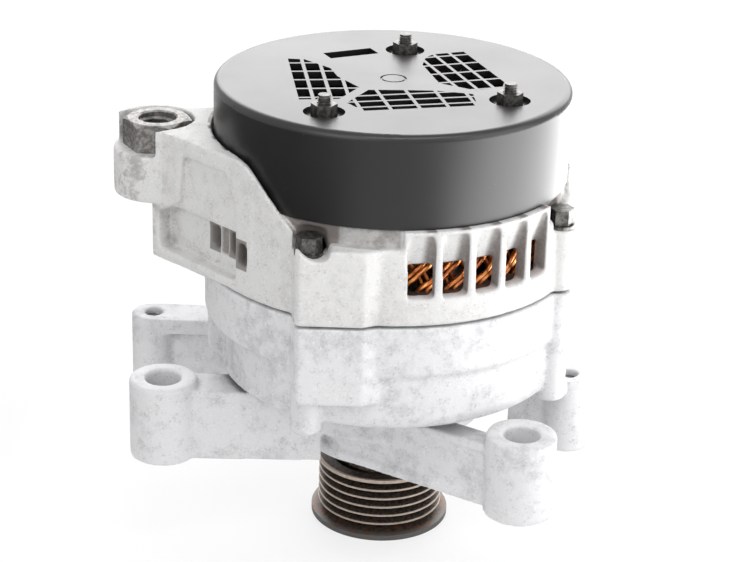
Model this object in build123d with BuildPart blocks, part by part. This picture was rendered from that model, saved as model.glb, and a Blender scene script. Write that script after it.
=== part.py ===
# Vehicle alternator with a six-groove V-ribbed pulley, built as on the bench.
# Frame: +Z is the rotor axis and points to the rear cover, z = 0 is the outer
# face of the pulley, and the front of the object looks along -Y.  Millimetres.
import os
from math import atan2, cos, degrees, hypot, radians, sin, sqrt, tan

from build123d import *

os.makedirs("parts", exist_ok=True)

# ---- fits ----
fit = 0.1              # gap between pieces of one body that slip together
running = 0.05         # radial gap of balls and brushes that run
loose = 0.4            # gap round pieces that must not touch

# ---- levels along the rotor axis ----
mount_z = 36.0         # face of the mounting ears on the drive end
hub_face_z = 33.0      # drive-end face of the front bearing hub
core_z = 88.0          # drive-end face of the stator core
core_height = 29.0
split_z = 107.2        # middle of the gap between the two brackets
split_gap = 0.9
rear_face_z = 141.8    # slip-ring end face, where cover and rectifier stand

# ---- housing ----
housing_r = 67.7
rim_step = 1.1         # the rim stands out from the drive-end body
core_wall = 4.7        # rim metal outside the stator core
core_lip = 1.4         # ledge that the core seats on
body_r = housing_r - rim_step
core_r = housing_r - core_wall
shell_bore_r = core_r - core_lip
front_wall = 4.5
rim_z = 89.0           # lower edge of the drive-end bracket's rim
body_z = 70.0          # lower edge of the drive-end bracket's shell
shelf_z = 135.5        # top of the slip-ring-end bracket's plain wall
belt_step = 0.8
belt_r = housing_r - belt_step     # raised belt that carries the vents
end_plate = 5.0
vent_low_z = 117.5
vent_top_z = 128.5
vent_pitch = 10.6
vent_width = 8.0      # degrees
vent_count = 5
vent_groups = (-59.0, 31.0, 121.0)
belt_half = 26.5      # degrees each side of a vent group's middle
arm_slot_angles = (-156.0, -147.5, -139.0)
arm_slot_width = 4.5
arm_slot_height = 8.0

# ---- rotor and stator ----
core_depth = 13.0      # radial depth of the laminations
stator_bore_r = core_r - core_depth
air_gap = 0.4
slot_count = 36
slot_depth = 8.5
slot_width = 4.2
claw_count = 6
pole_length = 42.0
pole_disc = 11.0
claw_tip = 4.0         # thickness of a claw at its tip
claw_base_width = 23.0
claw_tip_width = 9.0
claw_gap = 2.2         # gap from a claw's end to the other pole's face
pole_bore_r = 10.0
claw_depth = 13.0
coil_r = stator_bore_r - claw_depth
bobbin_wall = 1.6
bobbin_hub_r = 18.0
shaft_r = 8.5
collar_r = 11.5
slip_stub_r = 5.0
fan_sheet = 1.2
fan_gap = 3.0
fan_r = stator_bore_r - fan_gap
blade_span = 20.0      # from a blade's root to the fan's edge
front_fan_height = 8.0
rear_fan_height = 8.5
front_blades = 11
rear_blades = 9
winding_inner_r = stator_bore_r + 1.2
winding_outer_r = core_r - 2.6
front_winding_outer_r = winding_outer_r - 3.2
winding_height = 12.0

# ---- bearings: 17 x 47 x 14 at the drive end, 17 x 35 x 10 at the rear ----
front_bearing_r = 23.5
front_bearing_width = 14.0
front_pitch_r = 16.0
front_ball_r = 4.365
front_ball_count = 7
rear_bearing_r = 17.5
rear_bearing_width = 10.0
rear_pitch_r = 13.0
rear_ball_r = 2.38
rear_ball_count = 10
rear_bearing_z = 127.5
hub_wall = 7.0
rear_hub_wall = 5.5
retainer_thickness = 2.0
neck_top_z = 58.0      # where the neck meets the flat of the drive-end shell
cage_rim = 0.9         # cage metal beside a ball
retainer_screw_count = 3
retainer_screw_depth = 8.0

# ---- pulley ----
pulley_height = 24.8
crest_r = 23.8
flange_r = 26.4
flange_height = 2.1
top_rim_r = 24.6
groove_count = 6
groove_pitch = 3.56
groove_angle = 40.0
first_groove_z = 3.92
groove_root = 0.7      # flat at a groove's root
crest_land = 0.7       # flat at a rib's crest
pulley_recess_r = 17.0
pulley_recess = 9.0
pulley_back_r = 18.5
pulley_web = 7.0
spacer_r = 12.0
nut_16_flats = 24.0
nut_16_height = 7.5
thread_16_r = 8.0

# ---- mounting ears ----
ear_r = 12.5
ear_bore_r = 6.5
lug_wall_end = -52.0
pocket_depth = 7.7
pocket_floor_r = housing_r - pocket_depth
pocket_angles = (-174.0, -127.0)
window_count = 10
pad_left_x = -31.5     # flat pad over the through bolt at the front
pad_right_x = 2.0
pad_rise = 2.3
pad_y = -housing_r - pad_rise
pad_low_z = 78.0
ear_top_z = 66.5
front_left_ear = (-81.0, -27.0)
front_right_ear = (49.0, -63.5)
lug_r = 8.5
lug_bore_r = 3.4       # tapping size of M8
lug_z = 40.0
back_left_lug = (-90.1, 24.2)
back_left_top_z = 70.0
back_right_lug = (68.7, -17.8)
back_right_top_z = 69.0
web = 7.0
flange = 3.5           # height of the flanges along the right wall
flange_rise = 3.0
right_web_top_z = 60.5
left_web_top_z = 63.5
lug_web_x = 48.0
mark_x = -80.5         # round cast mark on the back-left wall
mark_z = 55.3
mark_r = 4.5
mark_rise = 0.6

# ---- adjusting arm on the slip-ring-end bracket ----
arm_boss = (-85.0, 0.0)
arm_boss_r = 16.0
arm_boss_z = 130.0
arm_floor_z = 147.5
arm_top_z = 157.5
arm_outer_x = -86.0
arm_half = 12.0        # half the arm's width at its outer end
arm_cover_gap = 0.8
arm_edge_y = 20.0
panel_depth = 1.4
panel_corner = 2.0
# recessed panel of the arm's face, as (along the face, z)
panel_outline = [(-8, 112), (-8, 139), (-13, 151), (-36, 151), (-38, 133), (-49, 127), (-49, 113)]
nut_pocket_r = 13.3
pocket_open_angle = 215.0
arm_bore_r = 7.2
nut_14_flats = 22.0
nut_14_height = 10.5
thread_14_r = 5.92     # minor radius of M14

# ---- through bolts and small screws ----
bolt_count = 4
bolt_angle = -24.0
bolt_inset = 1.0
bolt_ring_r = housing_r - bolt_inset
bolt_boss_low_z = 64.0
bolt_r = 2.5
bolt_boss_r = 5.6
bolt_seat_z = 131.0
bolt_head_height = 7.0
bolt_flats = 8.0
bolt_thread = 18.0
screw_4_r = 2.0

# ---- cover ----
cover_step = 3.3       # the cover stands in from the housing
cover_r = housing_r - cover_step
arm_inner_r = cover_r + arm_cover_gap
cover_top_z = 175.25
cover_wall = 2.2
cover_seat_gap = 0.2
cover_edge = 2.5
cup_r = 7.3
cup_depth = 1.7
stud_r = 2.5
stud_rise = 6.2
nut_5_flats = 8.0
nut_5_height = 4.7
grille_bar = 1.3
row_pitch = 6.3
row_start = 18.4
column_pitch = 10.2
column_offset = 0.9
gate_r = 4.8
slot_size = (19.4, 7.2)
slot_centre = (-16.0, 29.5)
slot_turn = 26.0
# each barred vent: angle of its outer side, then its outline as (outward, sideways)
grilles = (
    (187.5, [(36, -25), (36, 23.6), (22, 23.3), (13.5, 10.3), (19.8, -2.6), (21.5, -12.9), (30, -24)]),
    (284.0, [(34.7, -19), (34.7, 21.5), (22, 23.5), (16.5, 12), (14, 0), (12, -12), (25.2, -22.8)]),
    (20.0, [(37, 25), (37.3, -14), (34, -20), (23.5, -20.5), (14, -9.5), (16, 13), (20.5, 21.5), (24.7, 24.5)]),
)

# ---- rectifier, regulator and brushes ----
sink_inner_r = 26.0
sink_gap = 7.4         # from the cover's outside to the heat sinks
sink_outer_r = cover_r - sink_gap
sink_plate = 3.0
sink_start = 165.0
sink_sweep = 268.0
negative_z = rear_face_z
positive_z = 152.0
fin_height = 7.0
fin_count = 30
fin_sheet = 1.4
fin_start_r = 39.0
board_inner_r = 27.0
board_outer_r = 37.0
board_height = 3.0
lead_angles = (200.0, 262.0, 305.0)
lead_r = 1.2
lead_ring_r = sink_outer_r + 2.0
diode_r = 6.35
diode_height = 4.0
diode_ring_r = sink_outer_r - 7.0
diode_places_round = 15
diode_count = 12
regulator_angle = 120.0
ring_r = 8.0
ring_height = 6.0
inner_ring_z = 146.0
outer_ring_z = 157.0
brush_size = (11.0, 4.6, 5.4)   # radial, across, along the shaft
brush_travel = 4.0
holder_inner_r = 11.0
holder_outer_r = 28.5
spring_seat_r = 26.5
spring_outer_r = 2.0
spring_wire = 0.7
holder_width = 10.0
regulator_width = 30.0
regulator_outer_r = cover_r - 9.4
regulator_height = 14.0
regulator_screw_place = (50.0, 11.0)
shroud_wall = 1.4

# ---- battery terminal on the rectifier's live side ----
terminal_x = 20.0
terminal_z = 161.0
terminal_r = 4.0
terminal_reach = 11.2   # free thread past the nut
terminal_thread_r = 3.6   # pitch radius of M8
bush_rise = 3.0
terminal_head_r = 5.9
terminal_head = 3.0
tab_y = sink_outer_r - 5.5
tab_sheet = 4.0
terminal_flats = 13.0
terminal_nut_height = 6.5
bush_r = 5.9
terminal_gap_angle = 12.0   # degrees without fins on each side of the terminal
lead_gap_angle = 6.0

# ---- places worked out from the sizes above ----
core_top_z = core_z + core_height
front_rim_z = split_z - split_gap / 2
rear_rim_z = split_z + split_gap / 2
pole_z = core_z + core_height / 2 - pole_length / 2
pole_top_z = pole_z + pole_length
rotor_r = stator_bore_r - air_gap
front_bearing_z = hub_face_z + 2.0
front_bearing_top_z = front_bearing_z + front_bearing_width
spacer_start_z = pulley_recess + pulley_web
hub_r = front_bearing_r + hub_wall
neck_r = hub_r + 8.0           # wider neck over the bearing's retainer
retainer_r = hub_r + 1.0
retainer_screw_ring = front_bearing_r + hub_wall / 2
bolt_angles = [bolt_angle + 360 / bolt_count * k for k in range(bolt_count)]
stud_places = [(-23.5, -40.5), (4.2, 36.0), (40.8, -21.5)]
cup_floor_z = cover_top_z - cup_depth
sink_top_z = positive_z + sink_plate
lead_top_z = sink_top_z + board_height + 2
brush_tip_r = ring_r + running
terminal_angle = degrees(atan2(tab_y, terminal_x))


def regulator_plane(level):
    """Plan whose X runs outward along the regulator's middle line."""
    angle = radians(regulator_angle)
    return Plane(origin=(0, 0, level), x_dir=(cos(angle), sin(angle), 0), z_dir=(0, 0, 1))


def on_regulator(outward, across):
    """Plan point given along and across the regulator's middle line."""
    point = regulator_plane(0).from_local_coords(Vector(outward, across, 0))
    return (point.X, point.Y)


regulator_screws_at = [on_regulator(regulator_screw_place[0], side * regulator_screw_place[1])
                       for side in (-1, 1)]


def polar(radius, angle):
    """Point on a circle about the rotor axis."""
    return (radius * cos(radians(angle)), radius * sin(radians(angle)))


retainer_places = [polar(retainer_screw_ring, 360 / retainer_screw_count * k)
                   for k in range(retainer_screw_count)]


def save(piece, name):
    """Label a finished piece and write it as one STEP file."""
    piece.part.label = name
    export_step(piece.part, f"parts/{name}.step")


def hex_nut(name, places, flats, height, bottom, bore):
    """A set of hexagon nuts standing on one level."""
    with BuildPart() as nuts:
        with BuildSketch(Plane.XY.offset(bottom)):
            with Locations(*places):
                RegularPolygon(radius=flats / 2, side_count=6, major_radius=False)
                Circle(bore, mode=Mode.SUBTRACT)
        extrude(amount=height)
    save(nuts, name)


def revolve_profile(points, mode=Mode.ADD):
    """Turn a closed profile of (radius, z) points about the rotor axis."""
    with BuildSketch(Plane.XZ) as profile:
        with BuildLine():
            Polyline(*points, close=True)
        make_face()
    revolve(profile.sketch, axis=Axis.Z, mode=mode)


def bar_between(start, end, width, low, high):
    """Straight wall from one point to another in plan, between two levels."""
    length = hypot(end[0] - start[0], end[1] - start[1])
    angle = degrees(atan2(end[1] - start[1], end[0] - start[0]))
    middle = ((start[0] + end[0]) / 2, (start[1] + end[1]) / 2)
    with BuildSketch(Plane.XY.offset(low)) as plan:
        with Locations(middle):
            Rectangle(length, width, rotation=angle)
    extrude(plan.sketch, amount=high - low)


def boss(place, radius, low, high, mode=Mode.ADD):
    """Upright cylinder between two levels."""
    with BuildSketch(Plane.XY.offset(low)) as plan:
        with Locations(place):
            Circle(radius)
    extrude(plan.sketch, amount=high - low, mode=mode)


def sector(inner, outer, start, sweep, level):
    """Flat ring sector between two angles."""
    with BuildSketch(Plane.XY.offset(level)) as plan:
        with BuildLine():
            CenterArc((0, 0), outer, start, sweep)
            Line(polar(outer, start + sweep), polar(inner, start + sweep))
            CenterArc((0, 0), inner, start, sweep)
            Line(polar(inner, start), polar(outer, start))
        make_face()
    return plan.sketch


def plan_outline(points, level):
    """Flat face from plan points at one level."""
    with BuildSketch(Plane.XY.offset(level)) as plan:
        with BuildLine():
            Polyline(*points, close=True)
        make_face()
    return plan.sketch


# ---------------------------------------------------------------- pulley
def pulley_profile():
    """Outline of half the pulley: grooves outside, recesses inside."""
    half_root = groove_root / 2
    half_mouth = (groove_pitch - crest_land) / 2
    depth = (half_mouth - half_root) / tan(radians(groove_angle / 2))
    root_r = crest_r - depth
    outline = [(shaft_r + fit, pulley_recess), (pulley_recess_r - 2, pulley_recess),
               (pulley_recess_r, 0), (flange_r, 0), (flange_r, flange_height)]
    for k in range(groove_count):
        middle = first_groove_z + k * groove_pitch
        if k:
            outline.append((crest_r, middle - half_mouth))
        outline += [(root_r, middle - half_root), (root_r, middle + half_root),
                    (crest_r, middle + half_mouth)]
    top_start = outline[-1][1] + crest_land / 2
    outline += [(top_rim_r, top_start), (top_rim_r, pulley_height),
                (pulley_back_r + 1, pulley_height), (pulley_back_r, pulley_height - 1),
                (pulley_back_r, spacer_start_z), (shaft_r + fit, spacer_start_z)]
    return outline


with BuildPart() as pulley:
    revolve_profile(pulley_profile())
save(pulley, "pulley")

with BuildPart() as pulley_spacer:
    revolve_profile([(shaft_r + fit, spacer_start_z), (spacer_r + 3, spacer_start_z),
                     (spacer_r + 3, pulley_height - 1.5), (spacer_r, pulley_height + 1.5),
                     (spacer_r, front_bearing_z), (shaft_r + fit, front_bearing_z)])
save(pulley_spacer, "pulley_spacer")

hex_nut("pulley_nut", [(0, 0)], nut_16_flats, nut_16_height, pulley_recess - nut_16_height,
        thread_16_r + fit)

# ---------------------------------------------------------------- shaft
with BuildPart() as rotor_shaft:
    revolve_profile([(0, pulley_recess - nut_16_height - 0.5),
                     (thread_16_r, pulley_recess - nut_16_height - 0.5),
                     (thread_16_r, pulley_recess), (shaft_r, pulley_recess),
                     (shaft_r, front_bearing_top_z), (collar_r, front_bearing_top_z),
                     (collar_r, pole_z - fan_sheet), (pole_bore_r, pole_z - fan_sheet),
                     (pole_bore_r, pole_top_z + fan_sheet), (shaft_r, pole_top_z + fan_sheet),
                     (shaft_r, rear_bearing_z + rear_bearing_width),
                     (slip_stub_r, rear_bearing_z + rear_bearing_width + 2),
                     (slip_stub_r, outer_ring_z + ring_height + 1),
                     (0, outer_ring_z + ring_height + 1)])
    with BuildSketch(Plane.XY.offset(pulley_recess - nut_16_height - 0.5)):
        RegularPolygon(radius=4.0, side_count=6, major_radius=False)
    extrude(amount=10, mode=Mode.SUBTRACT)
save(rotor_shaft, "rotor_shaft")


# ---------------------------------------------------------------- claw poles
def claw_pole(name, base_z, side, turn):
    """One pole piece: a disc whose claws reach over the coil to the other pole."""
    tip_z = pole_length - claw_gap
    root_r = coil_r + loose
    with BuildPart() as pole:
        with BuildSketch(Plane.XZ):
            with BuildLine():
                Polyline((pole_bore_r, 0), (rotor_r, 0), (rotor_r, tip_z), (rotor_r - claw_tip, tip_z),
                         (root_r + 1.5, pole_disc), (pole_bore_r, pole_disc), close=True)
            make_face()
        revolve(axis=Axis.Z)
        # gaps between the claws, cut radially down to the disc
        half_pitch = radians(180 / claw_count)
        base_gap = 2 * rotor_r * sin(half_pitch) - claw_base_width
        tip_gap = 2 * rotor_r * sin(half_pitch) - claw_tip_width
        for k in range(claw_count):
            angle = turn + 360 / claw_count * (k + 0.5)
            x, y = polar(root_r - 2, angle)
            radial = Plane(origin=(x, y, 0), x_dir=(-sin(radians(angle)), cos(radians(angle)), 0),
                           z_dir=(cos(radians(angle)), sin(radians(angle)), 0))
            with BuildSketch(radial):
                with BuildLine():
                    Polyline((-base_gap / 2, -1), (base_gap / 2, -1), (base_gap / 2, 3),
                             (tip_gap / 2, tip_z + 1), (-tip_gap / 2, tip_z + 1),
                             (-base_gap / 2, 3), close=True)
                make_face()
            extrude(amount=rotor_r, mode=Mode.SUBTRACT)
    placed = pole.part
    if side < 0:
        placed = placed.mirror(Plane.XY).moved(Location((0, 0, base_z + pole_length)))
    else:
        placed = placed.moved(Location((0, 0, base_z)))
    placed.label = name
    export_step(placed, f"parts/{name}.step")


claw_pole("front_claw_pole", pole_z, 1, 0)
claw_pole("rear_claw_pole", pole_z, -1, 180 / claw_count)

bobbin_z = pole_z + pole_disc + fit
bobbin_top_z = pole_top_z - pole_disc - fit
with BuildPart() as coil_bobbin:
    revolve_profile([(pole_bore_r + fit, bobbin_z), (coil_r, bobbin_z), (coil_r, bobbin_z + bobbin_wall),
                     (bobbin_hub_r, bobbin_z + bobbin_wall), (bobbin_hub_r, bobbin_top_z - bobbin_wall),
                     (coil_r, bobbin_top_z - bobbin_wall), (coil_r, bobbin_top_z),
                     (pole_bore_r + fit, bobbin_top_z)])
save(coil_bobbin, "coil_bobbin")

with BuildPart() as field_coil:
    revolve_profile([(bobbin_hub_r + fit, bobbin_z + bobbin_wall + fit),
                     (coil_r - 1, bobbin_z + bobbin_wall + fit),
                     (coil_r - 1, bobbin_top_z - bobbin_wall - fit),
                     (bobbin_hub_r + fit, bobbin_top_z - bobbin_wall - fit)])
save(field_coil, "field_coil")


# ---------------------------------------------------------------- fans
blade_end_r = fan_r - 1
blade_middle_r = fan_r - 11
blade_root_r = fan_r - blade_span


def fan(name, plate_z, height, blades, direction):
    """Sheet-metal fan: a scalloped disc with blades bent up along its edge."""
    with BuildPart() as wheel:
        with BuildSketch(Plane.XY.offset(plate_z)):
            Circle(fan_r)
            Circle(pole_bore_r + fit, mode=Mode.SUBTRACT)
            with PolarLocations(fan_r + 3, blades, start_angle=180 / blades + 8):
                Ellipse(9, 6.5, mode=Mode.SUBTRACT)
        extrude(amount=fan_sheet)
        blade_z = plate_z + fan_sheet if direction > 0 else plate_z - height
        with BuildSketch(Plane.XY.offset(blade_z)):
            with PolarLocations(0, blades):
                with BuildLine():
                    ThreePointArc(polar(blade_root_r, -4), polar(blade_middle_r, 4), polar(blade_end_r, 18))
                    Line(polar(blade_end_r, 18), polar(blade_end_r, 19.9))
                    ThreePointArc(polar(blade_end_r, 19.9), polar(blade_middle_r, 6.4),
                                  polar(blade_root_r, -0.8))
                    Line(polar(blade_root_r, -0.8), polar(blade_root_r, -4))
                make_face()
        extrude(amount=height)
    save(wheel, name)


fan("front_fan", pole_z - fan_sheet, front_fan_height, front_blades, -1)
fan("rear_fan", pole_top_z, rear_fan_height, rear_blades, 1)

# ---------------------------------------------------------------- slip rings
sleeve_r = ring_r - 1.6
sleeve_z = rear_bearing_z + rear_bearing_width + 2
shoulder_r = ring_r - 0.4
sleeve_inner_r = slip_stub_r + fit
seat_r = sleeve_r - fit
with BuildPart() as slip_ring_sleeve:
    revolve_profile([
        (sleeve_inner_r, sleeve_z), (shoulder_r, sleeve_z), (shoulder_r, inner_ring_z - fit),
        (seat_r, inner_ring_z - fit), (seat_r, inner_ring_z + ring_height + fit),
        (shoulder_r, inner_ring_z + ring_height + fit), (shoulder_r, outer_ring_z - fit),
        (seat_r, outer_ring_z - fit), (seat_r, outer_ring_z + ring_height),
        (sleeve_inner_r, outer_ring_z + ring_height)])
save(slip_ring_sleeve, "slip_ring_sleeve")


def slip_ring(name, bottom):
    """One copper ring on the insulating sleeve."""
    with BuildPart() as ring:
        revolve_profile([(sleeve_r, bottom), (ring_r, bottom), (ring_r, bottom + ring_height),
                         (sleeve_r, bottom + ring_height)])
    save(ring, name)


slip_ring("slip_ring_inner", inner_ring_z)
slip_ring("slip_ring_outer", outer_ring_z)


# ---------------------------------------------------------------- bearings
def ball_bearing(prefix, bottom, width, outer_r, pitch_r, ball_r, balls):
    """Deep-groove ball bearing: two grooved races, balls and a riveted cage."""
    middle = bottom + width / 2
    groove_r = ball_r + running
    land = ball_r * 0.42
    with BuildPart() as inner:
        revolve_profile([(shaft_r + fit / 2, bottom), (pitch_r - land, bottom),
                         (pitch_r - land, bottom + width), (shaft_r + fit / 2, bottom + width)])
        with BuildSketch(Plane.XZ):
            with Locations((pitch_r, middle)):
                Circle(groove_r)
        revolve(axis=Axis.Z, mode=Mode.SUBTRACT)
    save(inner, f"{prefix}_bearing_inner_race")
    with BuildPart() as outer:
        revolve_profile([(pitch_r + land, bottom), (outer_r, bottom), (outer_r, bottom + width),
                         (pitch_r + land, bottom + width)])
        with BuildSketch(Plane.XZ):
            with Locations((pitch_r, middle)):
                Circle(groove_r)
        revolve(axis=Axis.Z, mode=Mode.SUBTRACT)
    save(outer, f"{prefix}_bearing_outer_race")
    with BuildPart() as ball_set:
        with PolarLocations(pitch_r, balls):
            with Locations((0, 0, middle)):
                Sphere(ball_r)
    save(ball_set, f"{prefix}_bearing_balls")
    with BuildPart() as cage:
        band = land - 0.5
        reach = ball_r + cage_rim
        revolve_profile([(pitch_r - band, middle - reach), (pitch_r + band, middle - reach),
                         (pitch_r + band, middle + reach), (pitch_r - band, middle + reach)])
        with PolarLocations(pitch_r, balls):
            with Locations(Location((0, 0, middle), (0, 90, 0))):
                Cylinder(ball_r + fit, 2 * ball_r, mode=Mode.SUBTRACT)
    save(cage, f"{prefix}_bearing_cage")


ball_bearing("front", front_bearing_z, front_bearing_width, front_bearing_r, front_pitch_r,
             front_ball_r, front_ball_count)
ball_bearing("rear", rear_bearing_z, rear_bearing_width, rear_bearing_r, rear_pitch_r,
             rear_ball_r, rear_ball_count)

# ---------------------------------------------------------------- stator
with BuildPart() as stator_core:
    with BuildSketch(Plane.XY.offset(core_z)):
        Circle(core_r)
        Circle(stator_bore_r, mode=Mode.SUBTRACT)
        with PolarLocations(stator_bore_r + slot_depth / 2, slot_count):
            Rectangle(slot_depth, slot_width, mode=Mode.SUBTRACT)
        with PolarLocations(stator_bore_r, slot_count):
            Rectangle(3, 2.2, mode=Mode.SUBTRACT)
    extrude(amount=core_height)
save(stator_core, "stator_core")

with BuildPart() as stator_winding:
    # bars in the slots, joined by the twisted heads at both ends
    with BuildSketch(Plane.XY.offset(core_z - 1)):
        with PolarLocations(stator_bore_r + slot_depth / 2 + 0.4, slot_count):
            Rectangle(slot_depth - 1.6, slot_width - 0.6)
    extrude(amount=core_height + 2)
    bar_r = stator_bore_r + slot_depth
    head_low = core_z - loose
    head_high = core_top_z + loose
    revolve_profile([(winding_inner_r, head_high), (bar_r + 0.5, head_high),
                     (winding_outer_r, head_high + 2.5), (winding_outer_r, head_high + winding_height - 3),
                     (winding_outer_r - 3, head_high + winding_height),
                     (winding_inner_r + 2.5, head_high + winding_height),
                     (winding_inner_r, head_high + winding_height - 3)])
    revolve_profile([(winding_inner_r, head_low), (front_winding_outer_r, head_low),
                     (front_winding_outer_r, head_low - winding_height + 3),
                     (front_winding_outer_r - 2, head_low - winding_height),
                     (winding_inner_r + 2, head_low - winding_height),
                     (winding_inner_r, head_low - winding_height + 3)])
    # phase leads up to the rectifier
    for angle in lead_angles:
        boss(polar(lead_ring_r, angle), lead_r, head_high + winding_height / 2, lead_top_z)
save(stator_winding, "stator_winding")


# ---------------------------------------------------------------- drive-end bracket
# front shell: rim, body, shoulder and bearing hub in one turning
with BuildPart() as front_shell:
    revolve_profile([
        (front_bearing_r - 3, hub_face_z), (hub_r - 1.5, hub_face_z), (hub_r, hub_face_z + 1.5),
        (hub_r, front_bearing_top_z - 8), (neck_r, front_bearing_top_z - 1), (neck_r, neck_top_z),
        (neck_r + 6, neck_top_z + 3.5), (body_r - 5, body_z - 4), (body_r - 1, body_z - 1.5),
        (body_r, body_z + 1.5),
        (body_r, rim_z - 2), (housing_r, rim_z), (housing_r, front_rim_z),
        (core_r + fit, front_rim_z), (core_r + fit, core_z), (shell_bore_r, core_z),
        (shell_bore_r, body_z + 2), (shell_bore_r - 3, body_z - 0.5), (neck_r + 4, neck_top_z + 7.5),
        (retainer_r + 1, neck_top_z + 2), (retainer_r + 1, front_bearing_top_z),
        (front_bearing_r + fit, front_bearing_top_z), (front_bearing_r + fit, front_bearing_z),
        (front_bearing_r - 3, front_bearing_z)])
    with BuildSketch(Plane.XY.offset(hub_face_z + 5)):
        with PolarLocations((hub_r + body_r) / 2 + 1, window_count, start_angle=9):
            Trapezoid(12, 17, 80, rotation=90)
    extrude(amount=body_z - hub_face_z, mode=Mode.SUBTRACT)

left_wall_y = front_left_ear[1] - ear_r / 2 + web / 2
hub_apex = (-14.5, -24.5)
pocket_start, pocket_end = pocket_angles
pad_outline = [(pad_left_x, pad_y + 15), (pad_left_x, pad_y + 1.5), (pad_left_x + 1.5, pad_y),
               (pad_right_x - 10, pad_y), (pad_right_x, pad_y + 5)]
with BuildPart() as drive_end_bracket:
    # mounting walls from the hub to the ears and lugs
    bar_between((front_left_ear[0], left_wall_y), (hub_apex[0] - 8, left_wall_y + 2), web, mount_z,
                left_web_top_z)
    right_end = (front_right_ear[0] - 5, front_right_ear[1] + 3)
    bar_between(hub_apex, right_end, web, mount_z, right_web_top_z)
    bar_between(hub_apex, right_end, web + flange_rise, mount_z, mount_z + flange)
    bar_between(hub_apex, right_end, web + flange_rise, right_web_top_z - flange, right_web_top_z)
    bar_between(back_right_lug, (lug_web_x, back_right_lug[1] + 6), web, lug_z, back_right_top_z - 5)
    with BuildSketch(Plane(origin=(mark_x, back_left_lug[1] - web / 2, mark_z), z_dir=(0, -1, 0))) as mark:
        Circle(mark_r)
    extrude(mark.sketch, amount=mark_rise)
    bar_between((front_left_ear[0] + 8, left_wall_y + web), (-32, left_wall_y + web), 2 * web,
                left_web_top_z - 5, left_web_top_z)
    bar_between(back_left_lug, (lug_wall_end, back_left_lug[1]), web, lug_z, back_left_top_z - 5)
    bar_between(back_left_lug, (lug_wall_end, back_left_lug[1]), 2 * lug_r, back_left_top_z - 6,
                back_left_top_z)
    for place, radius, low, high in (
            (front_left_ear, ear_r, mount_z, ear_top_z),
            (front_right_ear, ear_r, mount_z, ear_top_z),
            (back_left_lug, lug_r, lug_z, back_left_top_z),
            (back_right_lug, lug_r, lug_z, back_right_top_z)):
        boss(place, radius, low, high)
    for angle in bolt_angles:
        boss(polar(bolt_ring_r, angle), bolt_boss_r, bolt_boss_low_z, front_rim_z)
    extrude(plan_outline(pad_outline, pad_low_z), amount=front_rim_z - pad_low_z)
    # the inside is cleared before the shell joins
    revolve_profile([
        (0, hub_face_z - 1), (hub_r - 3, hub_face_z - 1), (hub_r - 3, front_bearing_top_z - 3),
        (neck_r - 3, front_bearing_top_z - 2), (neck_r - 3, neck_top_z + 1),
        (neck_r + 4, neck_top_z + 5.5), (body_r - 6.5, body_z - 2.5),
        (core_r + 1.3, body_z + 1), (core_r + 1.3, front_rim_z + 1), (0, front_rim_z + 1)],
        mode=Mode.SUBTRACT)
    add(front_shell.part)
    # recess in the left flank
    extrude(sector(front_winding_outer_r + loose, pocket_floor_r + 3, pocket_start - 3,
                   pocket_end - pocket_start + 6, body_z + 1), amount=core_z - body_z - 2)
    extrude(sector(pocket_floor_r, housing_r + 8, pocket_start, pocket_end - pocket_start, ear_top_z),
            amount=rim_z - 2 - ear_top_z, mode=Mode.SUBTRACT)
    for place, radius, low, high in (
            (front_left_ear, ear_bore_r, mount_z, ear_top_z),
            (front_right_ear, ear_bore_r, mount_z, ear_top_z),
            (back_left_lug, lug_bore_r, lug_z, back_left_top_z),
            (back_right_lug, lug_bore_r, lug_z, back_right_top_z)):
        boss(place, radius, low, high, Mode.SUBTRACT)
    for angle in bolt_angles:
        boss(polar(bolt_ring_r, angle), bolt_r + fit, front_rim_z - bolt_thread - 2, front_rim_z,
             Mode.SUBTRACT)
    for place in retainer_places:
        boss(place, screw_4_r + fit, front_bearing_top_z - retainer_screw_depth, front_bearing_top_z,
             Mode.SUBTRACT)
save(drive_end_bracket, "drive_end_bracket")

# ---------------------------------------------------------------- slip-ring-end bracket
rear_hub_r = rear_bearing_r + rear_hub_wall
rear_lip_z = rear_bearing_z + rear_bearing_width
inner_face_z = rear_face_z - end_plate
face_point = polar(housing_r, -135)
with BuildPart() as rear_shell:
    revolve_profile([
        (core_r + fit, rear_rim_z), (housing_r, rear_rim_z), (body_r + 0.3, shelf_z - 1.5),
        (body_r - 0.9, shelf_z), (cover_r - 0.8, shelf_z + 0.5), (cover_r - 0.8, rear_face_z),
        (rear_bearing_r - 2.5, rear_face_z), (rear_bearing_r - 2.5, rear_lip_z),
        (rear_bearing_r + fit, rear_lip_z), (rear_bearing_r + fit, rear_bearing_z - 1),
        (rear_hub_r, rear_bearing_z - 1), (rear_hub_r + 1, inner_face_z), (shell_bore_r - 3, inner_face_z),
        (shell_bore_r, inner_face_z - 3), (shell_bore_r, core_top_z), (core_r + fit, core_top_z)])
    with BuildSketch(Plane.XY.offset(inner_face_z - 1)):
        with PolarLocations(40, window_count, start_angle=18):
            Trapezoid(10, 14, 80, rotation=90)
    extrude(amount=end_plate + 2, mode=Mode.SUBTRACT)

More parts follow.
